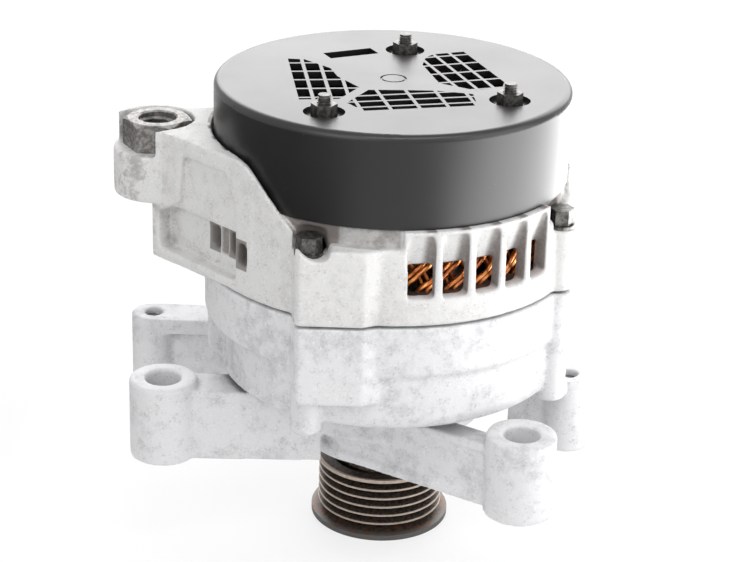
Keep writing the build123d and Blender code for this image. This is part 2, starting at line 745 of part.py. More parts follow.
with BuildPart() as slip_ring_end_bracket:
    # arm from the body's left flank out to the boss of the captive nut
    arm_plan = [(arm_outer_x, -arm_half), face_point, (-40, -40), (-55, 16), (arm_outer_x, arm_half)]
    extrude(plan_outline(arm_plan, rear_rim_z + 1), amount=arm_boss_z + 1 - rear_rim_z)
    extrude(plan_outline(arm_plan, arm_boss_z), amount=arm_top_z - arm_boss_z)
    boss(arm_boss, arm_boss_r, arm_boss_z, arm_top_z)
    extrude(sector(arm_inner_r - 3, housing_r - 0.5, -195, 88, shelf_z - 4), amount=arm_top_z - shelf_z + 4)
    extrude(plan_outline(pad_outline, rear_rim_z), amount=shelf_z - rear_rim_z)
    # the arm's free edge falls in a long curve to the plain wall
    with BuildSketch(Plane.XZ.offset(arm_edge_y)):
        with BuildLine():
            Spline((-47, arm_top_z + 0.2), (-39.1, 150), (-33.8, 143.2), (-28.5, 138), (-22, shelf_z),
                   tangents=((1, -0.4), (1, 0)))
            Polyline((-22, shelf_z), (20, shelf_z), (20, arm_top_z + 2), (-47, arm_top_z + 2),
                     (-47, arm_top_z + 0.2))
        make_face()
    extrude(amount=housing_r, mode=Mode.SUBTRACT)
    face_normal = polar(1, -135)
    arm_face = Plane(origin=(*face_point, 0), x_dir=(-face_normal[1], face_normal[0], 0),
                     z_dir=(*face_normal, 0))
    with BuildSketch(arm_face) as panel:
        with BuildLine():
            Polyline(*panel_outline, close=True)
        make_face()
        fillet(panel.vertices(), radius=panel_corner)
    extrude(panel.sketch, amount=-panel_depth, mode=Mode.SUBTRACT)
    # vent belts stand up to the cover between the through bolts
    for middle in vent_groups:
        extrude(sector(shell_bore_r + 1, belt_r, middle - belt_half, 2 * belt_half, shelf_z - 4),
                amount=rear_face_z - shelf_z + 4)
    for angle in bolt_angles:
        boss(polar(bolt_ring_r, angle), bolt_boss_r, rear_rim_z, bolt_seat_z)
    # room for the cover and the inside
    boss((0, 0), arm_inner_r, rear_face_z, arm_top_z + 1, Mode.SUBTRACT)
    boss((0, 0), core_r + 1.3, rear_rim_z - 1, rear_face_z - 1, Mode.SUBTRACT)
    add(rear_shell.part)
    # vents: a window through the wall with a scoop rising from it to the cover
    for middle in vent_groups:
        for k in range(vent_count):
            angle = middle + (k - (vent_count - 1) / 2) * vent_pitch
            upright = Plane(origin=(0, 0, 0), x_dir=(cos(radians(angle)), sin(radians(angle)), 0),
                            z_dir=(sin(radians(angle)), -cos(radians(angle)), 0))
            with BuildSketch(upright):
                with BuildLine():
                    Polyline((shell_bore_r - 3, vent_low_z), (housing_r + 6, vent_low_z),
                             (housing_r + 6, rear_face_z - 1), (belt_r - 0.5, rear_face_z - 1),
                             (shell_bore_r + 0.7, vent_top_z), (shell_bore_r - 3, vent_top_z), close=True)
                make_face()
            extrude(amount=belt_r * tan(radians(vent_width / 2)), both=True, mode=Mode.SUBTRACT)
    for angle in arm_slot_angles:
        upright = Plane(origin=(0, 0, 0), x_dir=(cos(radians(angle)), sin(radians(angle)), 0),
                        z_dir=(sin(radians(angle)), -cos(radians(angle)), 0))
        with BuildSketch(upright):
            with Locations((housing_r + 2, (vent_low_z + vent_top_z) / 2)):
                Rectangle(24, arm_slot_height)
        extrude(amount=arm_slot_width / 2, both=True, mode=Mode.SUBTRACT)
    # seats of the through bolts, and the boss of the captive nut
    for angle in bolt_angles:
        boss(polar(bolt_ring_r, angle), bolt_r + loose, rear_rim_z, bolt_seat_z, Mode.SUBTRACT)
        boss(polar(bolt_ring_r, angle), bolt_boss_r + 0.6, bolt_seat_z, rear_face_z - 2, Mode.SUBTRACT)
    boss(arm_boss, arm_bore_r, arm_boss_z, arm_top_z, Mode.SUBTRACT)
    boss(arm_boss, nut_pocket_r, arm_floor_z, arm_top_z, Mode.SUBTRACT)
    open_side = (arm_boss[0] + nut_pocket_r * cos(radians(pocket_open_angle)),
                 arm_boss[1] + nut_pocket_r * sin(radians(pocket_open_angle)))
    with BuildSketch(Plane.XY.offset(arm_floor_z)):
        with Locations(open_side):
            Rectangle(2 * nut_pocket_r, 2 * nut_pocket_r, rotation=pocket_open_angle)
    extrude(amount=arm_top_z - arm_floor_z, mode=Mode.SUBTRACT)
    for place in stud_places:
        boss(place, stud_r + fit, inner_face_z, rear_face_z, Mode.SUBTRACT)
    for place in regulator_screws_at:
        boss(place, screw_4_r + fit, inner_face_z, rear_face_z, Mode.SUBTRACT)
    for angle in lead_angles:
        boss(polar(lead_ring_r, angle), lead_r + loose, inner_face_z - 3, rear_face_z, Mode.SUBTRACT)
save(slip_ring_end_bracket, "slip_ring_end_bracket")

hex_nut("captive_nut", [arm_boss], nut_14_flats, nut_14_height, arm_floor_z, thread_14_r)


def screws(name, places, radius, head_z, shank, head_flats, head_height, washer_r=0.0):
    """Hexagon-headed screws on one level, heads up."""
    with BuildPart() as bolts:
        with BuildSketch(Plane.XY.offset(head_z)):
            with Locations(*places):
                RegularPolygon(radius=head_flats / 2, side_count=6, major_radius=False)
        extrude(amount=head_height)
        if washer_r:
            with BuildSketch(Plane.XY.offset(head_z)):
                with Locations(*places):
                    Circle(washer_r)
            extrude(amount=1.2)
        with BuildSketch(Plane.XY.offset(head_z - shank)):
            with Locations(*places):
                Circle(radius)
        extrude(amount=shank)
    save(bolts, name)


bolt_places = [polar(bolt_ring_r, angle) for angle in bolt_angles]
screws("through_bolts", bolt_places, bolt_r, bolt_seat_z, bolt_seat_z - front_rim_z + bolt_thread,
       bolt_flats, bolt_head_height, bolt_boss_r - 0.6)

# ---------------------------------------------------------------- bearing retainer
retainer_z = front_bearing_top_z + fit / 2
with BuildPart() as bearing_retainer:
    with BuildSketch(Plane.XY.offset(retainer_z)):
        Circle(retainer_r)
        Circle(front_bearing_r - 3, mode=Mode.SUBTRACT)
        with PolarLocations(retainer_screw_ring, retainer_screw_count):
            Circle(screw_4_r + fit, mode=Mode.SUBTRACT)
    extrude(amount=retainer_thickness)
save(bearing_retainer, "bearing_retainer")

screws("retainer_screws", retainer_places, screw_4_r, retainer_z + retainer_thickness + fit, retainer_screw_depth,
       7, 2.8)

# ---------------------------------------------------------------- rear cover
cover_bottom_z = rear_face_z + cover_seat_gap
collar_top_z = cup_floor_z - cover_wall
with BuildPart() as rear_cover:
    with BuildSketch(Plane.XY.offset(cover_bottom_z)):
        Circle(cover_r)
    extrude(amount=cover_top_z - cover_bottom_z)
    fillet(rear_cover.edges().group_by(Axis.Z)[-1], radius=cover_edge)
    boss((0, 0), cover_r - cover_wall, cover_bottom_z, cover_top_z - cover_wall, Mode.SUBTRACT)
    for place in stud_places:
        boss(place, cup_r + cover_wall, collar_top_z, cover_top_z - 1)
        boss(place, cup_r, cup_floor_z, cover_top_z, Mode.SUBTRACT)
        boss(place, stud_r + loose, collar_top_z, cover_top_z, Mode.SUBTRACT)
    boss((0, 0), gate_r, cover_top_z - 0.4, cover_top_z, Mode.SUBTRACT)
    boss((0, 0), gate_r - 0.8, cover_top_z - 0.4, cover_top_z)
    # three barred vents over the heat sinks, each set square to its own angle
    rows = [row_start + row_pitch * k for k in range(3)]
    columns = [column_offset + column_pitch * k for k in (-2, -1, 0, 1, 2)]
    for angle, outline in grilles:
        top = Plane(origin=(0, 0, cover_top_z - cover_wall - 1),
                    x_dir=(cos(radians(angle)), sin(radians(angle)), 0), z_dir=(0, 0, 1))
        with BuildSketch(top):
            with BuildLine():
                Polyline(*outline, close=True)
            make_face()
            with Locations(*[(row, 0) for row in rows]):
                Rectangle(grille_bar, 80, mode=Mode.SUBTRACT)
            with Locations(*[(20, column) for column in columns]):
                Rectangle(80, grille_bar, mode=Mode.SUBTRACT)
        extrude(amount=cover_wall + 2, mode=Mode.SUBTRACT)
    with BuildSketch(Plane.XY.offset(cover_top_z - cover_wall - 1)):
        with Locations(slot_centre):
            Rectangle(*slot_size, rotation=slot_turn)
    extrude(amount=cover_wall + 2, mode=Mode.SUBTRACT)
    with BuildSketch(Plane(origin=(terminal_x, cover_r - 20, terminal_z), x_dir=(1, 0, 0), z_dir=(0, 1, 0))):
        Circle(bush_r + loose)
    extrude(amount=40, mode=Mode.SUBTRACT)
save(rear_cover, "rear_cover")

with BuildPart() as cover_studs:
    stud_top_z = cover_top_z + stud_rise
    with BuildSketch(Plane.XY.offset(inner_face_z)):
        with Locations(*stud_places):
            Circle(stud_r)
    extrude(amount=stud_top_z - inner_face_z)
    with BuildSketch(Plane.XY.offset(sink_top_z + fit)):
        with Locations(*stud_places):
            RegularPolygon(radius=nut_5_flats / 2, side_count=6, major_radius=False)
    extrude(amount=collar_top_z - sink_top_z - 2 * fit)
save(cover_studs, "cover_studs")

hex_nut("cover_nuts", stud_places, nut_5_flats, nut_5_height, cup_floor_z, stud_r + fit / 2)

# ---------------------------------------------------------------- rectifier
def sink_angles(count):
    """Even places along the heat sinks, clear of both ends."""
    step = sink_sweep / count
    return [sink_start + step * (k + 0.5) for k in range(count)]


def clears_studs(place, radius):
    """True where a round piece of this radius keeps off the cover studs."""
    return all(hypot(place[0] - x, place[1] - y) > radius + nut_5_flats for x, y in stud_places)


with BuildPart() as negative_heat_sink:
    extrude(sector(sink_inner_r, sink_outer_r, sink_start, sink_sweep, negative_z), amount=sink_plate)
    for place in stud_places:
        boss(place, stud_r + loose, negative_z, negative_z + sink_plate, Mode.SUBTRACT)
save(negative_heat_sink, "negative_heat_sink")

with BuildPart() as positive_heat_sink:
    extrude(sector(sink_inner_r, sink_outer_r, sink_start, sink_sweep, positive_z), amount=sink_plate)
    for angle in sink_angles(fin_count):
        clear_of_leads = all(abs(angle - lead) > lead_gap_angle for lead in lead_angles)
        clear_of_terminal = abs(angle - 360 - terminal_angle) > terminal_gap_angle
        if clear_of_leads and clear_of_terminal and clears_studs(polar(sink_outer_r - 8, angle), 0):
            bar_between(polar(fin_start_r, angle), polar(sink_outer_r - 1, angle), fin_sheet,
                        positive_z + sink_plate / 2, sink_top_z + fin_height)
    bar_between((terminal_x - bush_r, tab_y), (terminal_x + bush_r, tab_y), tab_sheet,
                positive_z, terminal_z + bush_r)
    for place in stud_places:
        boss(place, stud_r + 3 * loose, positive_z, sink_top_z + fin_height + 1, Mode.SUBTRACT)
    with BuildSketch(Plane.XZ.offset(-tab_y)):
        with Locations((terminal_x, terminal_z)):
            Circle(terminal_r + fit)
    extrude(amount=tab_sheet, both=True, mode=Mode.SUBTRACT)
save(positive_heat_sink, "positive_heat_sink")


def diodes(name, places, bottom):
    """Press-fit diode cans standing on one level."""
    with BuildPart() as cans:
        with BuildSketch(Plane.XY.offset(bottom)):
            with Locations(*places):
                Circle(diode_r)
        extrude(amount=diode_height)
    save(cans, name)


diode_places = [polar(diode_ring_r, angle) for angle in sink_angles(diode_places_round)]
diode_places = [place for place in diode_places if clears_studs(place, diode_r - nut_5_flats / 2)]
diodes("negative_diodes", diode_places[0:diode_count:2], negative_z + sink_plate)
diodes("positive_diodes", diode_places[1:diode_count:2], positive_z - diode_height)

with BuildPart() as rectifier_insulators:
    for place in (stud_places[0], stud_places[2]):
        boss(place, nut_5_flats / 2, negative_z + sink_plate, positive_z)
        boss(place, stud_r + loose, negative_z + sink_plate, positive_z, Mode.SUBTRACT)
save(rectifier_insulators, "rectifier_insulators")

with BuildPart() as rectifier_terminal_board:
    extrude(sector(board_inner_r, board_outer_r, sink_start + 5, sink_sweep - 10, sink_top_z),
            amount=board_height)
    for angle in lead_angles:
        bar_between(polar(board_outer_r - 2, angle), polar(lead_ring_r - lead_r - fit, angle), 5,
                    sink_top_z, sink_top_z + board_height)
        boss(polar(lead_ring_r - 2, angle), lead_r + 1, sink_top_z, sink_top_z + board_height)
        boss(polar(lead_ring_r, angle), lead_r + fit, sink_top_z, sink_top_z + board_height, Mode.SUBTRACT)
save(rectifier_terminal_board, "rectifier_terminal_board")

# ---------------------------------------------------------------- regulator and brushes
holder_top_z = outer_ring_z + ring_height + 1.5
brush_length, brush_across, brush_axial = brush_size
ring_levels = (inner_ring_z + ring_height / 2, outer_ring_z + ring_height / 2)
brush_back_r = brush_tip_r + brush_length


def radial_block(inner, outer, across, axial, middle_z, mode=Mode.ADD):
    """Box along the regulator's middle line, centred on one level."""
    with BuildSketch(regulator_plane(middle_z - axial / 2)) as plan:
        with Locations(((inner + outer) / 2, 0)):
            Rectangle(outer - inner, across)
    extrude(plan.sketch, amount=axial, mode=mode)


with BuildPart() as brush_holder:
    radial_block(holder_inner_r, holder_outer_r, holder_width, holder_top_z - rear_face_z,
                 (holder_top_z + rear_face_z) / 2)
    for level in ring_levels:
        radial_block(holder_inner_r - 1, spring_seat_r, brush_across + 4 * running,
                     brush_axial + 4 * running, level, Mode.SUBTRACT)
save(brush_holder, "brush_holder")

for name, level in zip(("brush_inner", "brush_outer"), ring_levels):
    with BuildPart() as brush:
        radial_block(ring_r - 1, brush_back_r, brush_across, brush_axial, level)
        boss((0, 0), brush_tip_r, level - brush_axial, level + brush_axial, Mode.SUBTRACT)
    save(brush, name)

for name, level in zip(("brush_spring_inner", "brush_spring_outer"), ring_levels):
    line = Plane(origin=regulator_plane(level).from_local_coords(Vector(brush_back_r + fit, 0, 0)),
                 z_dir=regulator_plane(level).x_dir)
    with BuildPart() as spring:
        with BuildSketch(line):
            Circle(spring_outer_r)
            Circle(spring_outer_r - spring_wire, mode=Mode.SUBTRACT)
        extrude(amount=spring_seat_r - brush_back_r - 2 * fit)
    save(spring, name)

regulator_z = rear_face_z
regulator_top_z = regulator_z + regulator_height
socket_floor_z = regulator_top_z + 2
with BuildPart() as regulator_body:
    radial_block(holder_outer_r + fit, regulator_outer_r, regulator_width, regulator_height,
                 (regulator_z + regulator_top_z) / 2)
    with BuildSketch(Plane.XY.offset(regulator_top_z - 1)):
        with Locations(slot_centre):
            Rectangle(slot_size[0] + 2 * shroud_wall - 1, slot_size[1] + 2 * shroud_wall - 1,
                      rotation=slot_turn)
    extrude(amount=cover_top_z - cover_wall - 0.5 - regulator_top_z + 1)
    with BuildSketch(Plane.XY.offset(socket_floor_z)):
        with Locations(slot_centre):
            Rectangle(slot_size[0] - 1, slot_size[1] - 1, rotation=slot_turn)
    extrude(amount=cover_top_z - socket_floor_z, mode=Mode.SUBTRACT)
    for place in regulator_screws_at:
        boss(place, screw_4_r + fit, regulator_z, regulator_top_z, Mode.SUBTRACT)
save(regulator_body, "regulator_body")

with BuildPart() as regulator_pins:
    with BuildSketch(Plane(origin=(slot_centre[0], slot_centre[1], socket_floor_z),
                           x_dir=(cos(radians(slot_turn)), sin(radians(slot_turn)), 0), z_dir=(0, 0, 1))):
        with GridLocations(slot_size[0] / 3, 1, 3, 1):
            Rectangle(2.8, 0.8)
    extrude(amount=8)
save(regulator_pins, "regulator_pins")

screws("regulator_screws", regulator_screws_at, screw_4_r, regulator_top_z, regulator_height + end_plate - 1,
       7, 2.8)


# ---------------------------------------------------------------- battery terminal
def turned_along_y(radius, start, end, bore=0.0):
    """Round piece of the battery terminal between two distances along +Y."""
    with BuildSketch(Plane(origin=(terminal_x, start, terminal_z), x_dir=(1, 0, 0), z_dir=(0, 1, 0))) as face:
        Circle(radius)
        if bore:
            Circle(bore, mode=Mode.SUBTRACT)
    extrude(face.sketch, amount=end - start)


bush_start_y = tab_y + tab_sheet / 2
cover_side_y = sqrt(cover_r ** 2 - (terminal_x - bush_r) ** 2)
bush_end_y = cover_side_y + bush_rise
shank_end_y = bush_end_y + terminal_nut_height + 1
with BuildPart() as b_plus_stud:
    turned_along_y(terminal_r, tab_y - tab_sheet / 2, shank_end_y)
    turned_along_y(terminal_thread_r, shank_end_y, shank_end_y + terminal_reach)
    turned_along_y(terminal_head_r, tab_y - tab_sheet / 2 - terminal_head, tab_y - tab_sheet / 2)
save(b_plus_stud, "b_plus_stud")

with BuildPart() as b_plus_insulator:
    turned_along_y(bush_r, bush_start_y, bush_end_y, terminal_r + fit)
save(b_plus_insulator, "b_plus_insulator")

with BuildPart() as b_plus_nut:
    with BuildSketch(Plane(origin=(terminal_x, bush_end_y, terminal_z), x_dir=(1, 0, 0), z_dir=(0, 1, 0))):
        RegularPolygon(radius=terminal_flats / 2, side_count=6, major_radius=False)
        Circle(terminal_r + fit / 2, mode=Mode.SUBTRACT)
    extrude(amount=terminal_nut_height)
save(b_plus_nut, "b_plus_nut")
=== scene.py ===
from math import cos, degrees, pi, radians, sin
import bpy
from mathutils import Matrix, Vector


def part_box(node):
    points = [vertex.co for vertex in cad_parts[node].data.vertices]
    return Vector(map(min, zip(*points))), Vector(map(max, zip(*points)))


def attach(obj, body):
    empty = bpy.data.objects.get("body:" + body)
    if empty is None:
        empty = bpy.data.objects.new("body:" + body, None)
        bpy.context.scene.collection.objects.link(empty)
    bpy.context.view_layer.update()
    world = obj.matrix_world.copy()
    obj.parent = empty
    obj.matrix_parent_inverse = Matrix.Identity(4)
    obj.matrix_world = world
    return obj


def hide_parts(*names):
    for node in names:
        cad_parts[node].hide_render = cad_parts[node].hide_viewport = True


# vehicle alternator: finishes for the CAD nodes, cast surfaces, threads and copper windings
# everything is in metres in the frame of the CAD model, and mm turns its sizes into metres

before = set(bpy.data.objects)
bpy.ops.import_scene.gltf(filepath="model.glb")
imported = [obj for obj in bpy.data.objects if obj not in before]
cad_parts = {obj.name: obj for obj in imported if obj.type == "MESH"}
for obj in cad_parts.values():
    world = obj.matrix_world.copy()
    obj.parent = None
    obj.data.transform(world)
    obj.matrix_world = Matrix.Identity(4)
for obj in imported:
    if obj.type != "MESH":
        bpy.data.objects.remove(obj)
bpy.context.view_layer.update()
mm = 0.001
print("frame loaded,", len(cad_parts), "nodes")


# selection and small mesh helpers

def deselectAll():
    if bpy.context.object and bpy.context.object.mode != "OBJECT":
        bpy.ops.object.mode_set(mode="OBJECT")
    bpy.ops.object.select_all(action="DESELECT")


def activate(thing):
    deselectAll()
    thing.select_set(True)
    bpy.context.view_layer.objects.active = thing


def applyPlace(thing):
    activate(thing)
    bpy.ops.object.transform_apply(location=True, rotation=True, scale=True)


def applyModifier(thing, kind, **settings):
    activate(thing)
    modifier = thing.modifiers.new(kind.title(), kind)
    for key, value in settings.items():
        setattr(modifier, key, value)
    bpy.ops.object.modifier_apply(modifier=modifier.name)


def copyNode(node, name):
    # a merged copy of a CAD node's mesh, to be shaped further
    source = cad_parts[node]
    copied = bpy.data.objects.new(name, source.data.copy())
    bpy.context.scene.collection.objects.link(copied)
    activate(copied)
    copied.data.materials.clear()
    bpy.ops.object.mode_set(mode="EDIT")
    bpy.ops.mesh.select_all(action="SELECT")
    bpy.ops.mesh.remove_doubles(threshold=0.01 * mm)
    bpy.ops.mesh.normals_make_consistent(inside=False)
    bpy.ops.object.mode_set(mode="OBJECT")
    return copied


def smoothByAngle(thing, limit):
    activate(thing)
    bpy.ops.object.shade_smooth_by_angle(angle=radians(limit))


def joinAll(things, name):
    deselectAll()
    for thing in things:
        thing.select_set(True)
    bpy.context.view_layer.objects.active = things[0]
    bpy.ops.object.join()
    joined = bpy.context.object
    joined.name = name
    joined.data.name = name
    return joined


def turnedCopies(thing, count, step):
    # copies about the rotor axis, each with its own mesh
    copies = [thing]
    for k in range(1, count):
        copy = bpy.data.objects.new(thing.name, thing.data.copy())
        copy.data.transform(Matrix.Rotation(radians(step * k), 4, "Z"))
        bpy.context.scene.collection.objects.link(copy)
        copies.append(copy)
    return copies


# materials: sockets as values, and one method for any other node

class Value:
    def __init__(self, finish, socket):
        self.finish = finish
        self.socket = socket

    def maths(self, operation, first, second):
        return self.finish.add("ShaderNodeMath", {"operation": operation}, {0: first, 1: second})

    def __add__(self, other):
        return self.maths("ADD", self, other)

    def __radd__(self, other):
        return self.maths("ADD", other, self)

    def __sub__(self, other):
        return self.maths("SUBTRACT", self, other)

    def __rsub__(self, other):
        return self.maths("SUBTRACT", other, self)

    def __mul__(self, other):
        return self.maths("MULTIPLY", self, other)

    def __rmul__(self, other):
        return self.maths("MULTIPLY", other, self)

    def __truediv__(self, other):
        return self.maths("DIVIDE", self, other)

    def least(self, other):
        return self.maths("MINIMUM", self, other)

    def most(self, other):
        return self.maths("MAXIMUM", self, other)

    def fraction(self):
        return self.finish.add("ShaderNodeMath", {"operation": "FRACT"}, {0: self})

    def band(self, low, high):
        # 0 below low, 1 above high, smooth between
        return self.finish.add("ShaderNodeMapRange", {"interpolation_type": "SMOOTHSTEP"},
                               {0: self, 1: low, 2: high, 3: 0.0, 4: 1.0})


class Finish:
    def __init__(self, name, **constants):
        self.material = bpy.data.materials.new(name)
        self.material.use_nodes = True
        self.tree = self.material.node_tree
        self.shader = self.tree.nodes["Principled BSDF"]
        for key, value in constants.items():
            self.shader.inputs[key.replace("_", " ")].default_value = value
        self.coords = self.add("ShaderNodeTexCoord", {}, {}, "Object")

    def add(self, kind, settings, inputs, output=0):
        node = self.tree.nodes.new(kind)
        for key, value in settings.items():
            if key == "stops":
                self.setStops(node, value)
            else:
                setattr(node, key, value)
        for key, value in inputs.items():
            self.plug(node.inputs[key], value)
        return Value(self, node.outputs[output])

    def setStops(self, node, stops):
        elements = node.color_ramp.elements
        while len(elements) < len(stops):
            elements.new(0.5)
        for element, (place, colour) in zip(elements, stops):
            element.position = place
            element.color = (*colour, 1)

    def plug(self, socket, value):
        if isinstance(value, Value):
            self.tree.links.new(value.socket, socket)
        else:
            socket.default_value = value

    def noise(self, size, detail=3.0, rough=0.5, stretch=None):
        # noise whose blobs are about this many metres across
        vector = self.coords
        if stretch:
            vector = self.add("ShaderNodeMapping", {}, {"Vector": vector, "Scale": stretch})
        return self.add("ShaderNodeTexNoise", {},
                        {"Vector": vector, "Scale": 1 / size, "Detail": detail, "Roughness": rough})

    def cells(self, size):
        return self.add("ShaderNodeTexVoronoi", {}, {"Vector": self.coords, "Scale": 1 / size}, "Distance")

    def axis(self, name):
        return self.add("ShaderNodeSeparateXYZ", {}, {0: self.coords}, name)

    def radius(self):
        x, y = self.axis("X"), self.axis("Y")
        return self.add("ShaderNodeMath", {"operation": "SQRT"}, {0: x * x + y * y})

    def bearingDegrees(self):
        # direction about the rotor axis
        turned = self.add("ShaderNodeMath", {"operation": "ARCTAN2"}, {0: self.axis("Y"), 1: self.axis("X")})
        return turned * degrees(1)

    def openness(self, reach):
        # 1 on open faces, less in corners, slots and holes
        return self.add("ShaderNodeAmbientOcclusion", {"samples": 8, "only_local": True},
                        {"Distance": reach}, 1)

    def mix(self, factor, first, second):
        first = first if isinstance(first, Value) else (*first, 1)
        second = second if isinstance(second, Value) else (*second, 1)
        return self.add("ShaderNodeMix", {"data_type": "RGBA"}, {0: factor, 6: first, 7: second}, 2)

    def bump(self, height, distance, strength=1.0):
        return self.add("ShaderNodeBump", {}, {"Height": height, "Distance": distance, "Strength": strength})

    def give(self, **values):
        for key, value in values.items():
            self.plug(self.shader.inputs[key.replace("_", " ")], value)
        return self.material


def castAluminium(name, tone, warmth, clouds):
    # die-cast aluminium gone dull: pale oxide, faint grey clouds, fine speckle, and dirt with painted shade
    # where it is sheltered, darker in corners, slots and holes
    finish = Finish(name, Metallic=0.1, IOR=1.5)
    large = finish.noise(26 * mm, 3.0, 0.55)
    blotches = finish.noise(5 * mm, 6.0, 0.68)
    grain = finish.noise(0.8 * mm, 3.0, 0.65)
    pale = tuple(tone * part for part in (0.72, 0.72 - 0.004 * warmth, 0.73 - 0.02 * warmth))
    grey = tuple(tone * part for part in (0.5, 0.5 - 0.008 * warmth, 0.515 - 0.03 * warmth))
    colour = finish.mix((large * 0.4 + blotches * 0.6).band(0.46, 0.66) * clouds, pale, grey)
    colour = finish.mix(grain.band(0.55, 0.68) * blotches.band(0.4, 0.6) * 0.55, colour, (0.33, 0.32, 0.315))
    colour = finish.mix((1 - grain.band(0.3, 0.42)) * 0.6, colour, (0.86, 0.86, 0.86))
    # painted shade: ambient occlusion darkens corners, slots and holes, mixed with dirt noise
    shade_and_dirt_shelter = 1 - finish.openness(5 * mm)
    dirt_and_painted_shade = (shade_and_dirt_shelter * 1.5 + (grain + blotches - 1) * 0.5).band(0.3, 0.95)
    colour = finish.mix(dirt_and_painted_shade * 0.85, colour, (0.16, 0.15, 0.145))
    rough = 0.5 + blotches * 0.2 + dirt_and_painted_shade * 0.2
    surface = finish.bump(grain * 0.6 + blotches * 1.4, 0.12 * mm, 0.6)
    return finish, colour, rough, surface


def frontCasting():
    finish, colour, rough, surface = castAluminium("frontCasting", 0.98, 0.0, 0.75)
    return finish.give(Base_Color=colour, Roughness=rough, Normal=surface)


vents = {"start": -85.5, "pitch": 10.6, "lowZ": 117 * mm, "beltR": 66.9 * mm}
armSlots = {"start": -160.25, "pitch": 8.5, "count": 3, "lowZ": 117.2 * mm, "topZ": 129 * mm,
            "skinR": 69.2 * mm}


def rearCasting():
    finish, colour, rough, surface = castAluminium("rearCasting", 0.95, 1.0, 0.45)
    z, r = finish.axis("Z"), finish.radius()
    grit = finish.noise(1.3 * mm, 4.0, 0.7)
    clumps = finish.noise(6 * mm, 5.0, 0.68)
    # oily dirt on the ledge under the cover and on the arm boss; dirt with painted shade on the trailing
    # side of each vent, in the bolt pockets and in the arm slots
    bearing = finish.bearingDegrees()
    round90 = ((bearing - vents["start"] + 360) / 90).fraction()
    between = round90.band(0.6, 0.61) * (1 - round90.band(0.985, 0.995))
    ledge = z.band(134.8 * mm, 136 * mm) * (1 - r.band(66.4 * mm, 66.8 * mm))
    ledge = ledge * between * (0.55 + clumps.band(0.4, 0.6) * 0.45)
    turn = ((bearing - vents["start"] + 360) / vents["pitch"]).fraction()
    # painted shade with dirt: the trailing side of each vent scoop is darkened
    scoop_dirt_and_shade = turn.band(0.45, 0.7) * (1 - turn.band(0.86, 0.9))
    scoop_dirt_and_shade = scoop_dirt_and_shade * (1 - r.band(vents["beltR"] - 0.8 * mm, vents["beltR"]))
    scoop_dirt_and_shade = scoop_dirt_and_shade * z.band(vents["lowZ"], vents["lowZ"] + 2 * mm) * (0.6 + grit * 0.5)
    # painted shade with dirt: the bolt pockets are darkened
    pocket_dirt_and_shade = round90.band(0.56, 0.6) * (1 - round90.band(0.77, 0.8))
    pocket_dirt_and_shade = pocket_dirt_and_shade * (1 - r.band(64.6 * mm, 65.1 * mm)) * z.band(131.5 * mm, 133.5 * mm)
    # painted shade with dirt: the inside of the arm slots is darkened
    along = (bearing - armSlots["start"]) / armSlots["pitch"]
    slot_dirt_and_shade = along.fraction().band(0.2, 0.24) * (1 - along.fraction().band(0.76, 0.8))
    slot_dirt_and_shade = slot_dirt_and_shade * along.band(0, 0.01) * (1 - along.band(armSlots["count"] - 0.01, armSlots["count"]))
    slot_dirt_and_shade = slot_dirt_and_shade * z.band(armSlots["lowZ"], armSlots["lowZ"] + 0.5 * mm)
    slot_dirt_and_shade = slot_dirt_and_shade * (1 - z.band(armSlots["topZ"] - 0.5 * mm, armSlots["topZ"]))
    slot_dirt_and_shade = slot_dirt_and_shade * (1 - r.band(armSlots["skinR"] - 0.6 * mm, armSlots["skinR"]))
    boss = (1 - finish.axis("X").band(-94 * mm, -70 * mm)) * clumps.band(0.45, 0.62) * 0.5
    # dirt together with the painted shade of the vents, pockets and slots
    stain_and_painted_shade = (ledge * 0.75).most(scoop_dirt_and_shade * (1 - between)).most(boss).most(pocket_dirt_and_shade).most(slot_dirt_and_shade * 0.85).least(1.0)
    colour = finish.mix(stain_and_painted_shade, colour, (0.17, 0.15, 0.14))
    return finish.give(Base_Color=colour, Roughness=rough, Normal=surface)


def blackCover():
    # moulded cover: smooth black with a soft sheen, dust specks and a few wiped streaks
    finish = Finish("blackCover", IOR=1.5)
    dust = finish.cells(2.6 * mm)
    grains = (1 - dust.band(0.015, 0.05)) * finish.noise(16 * mm, 3.0, 0.6).band(0.5, 0.6)
    haze = finish.noise(24 * mm, 3.0, 0.55)
    base = finish.mix(haze, (0.007, 0.0068, 0.0065), (0.012, 0.0115, 0.011))
    base = finish.mix(grains * 0.6, base, (0.45, 0.43, 0.4))
    rough = 0.3 + haze * 0.08 + grains * 0.3
    return finish.give(Base_Color=base, Roughness=rough,
                       Normal=finish.bump(finish.noise(0.6 * mm) + grains, 0.012 * mm, 0.3))


def steel(name, dark, light, low, high, rust=0.0):
    # plated or bare steel with light spots, and rust where asked
    finish = Finish(name, Metallic=0.9)
    spots = finish.noise(1.6 * mm, 4.0, 0.6)
    colour = finish.mix(spots.band(0.35, 0.65), dark, light)
    if rust:
        rusty = finish.noise(4 * mm, 5.0, 0.7).band(0.5, 0.68) * rust
        colour = finish.mix(rusty, colour, (0.22, 0.1, 0.05))
    return finish.give(Base_Color=colour, Roughness=low + (high - low) * spots,
                       Normal=finish.bump(spots, 0.05 * mm, 0.5))


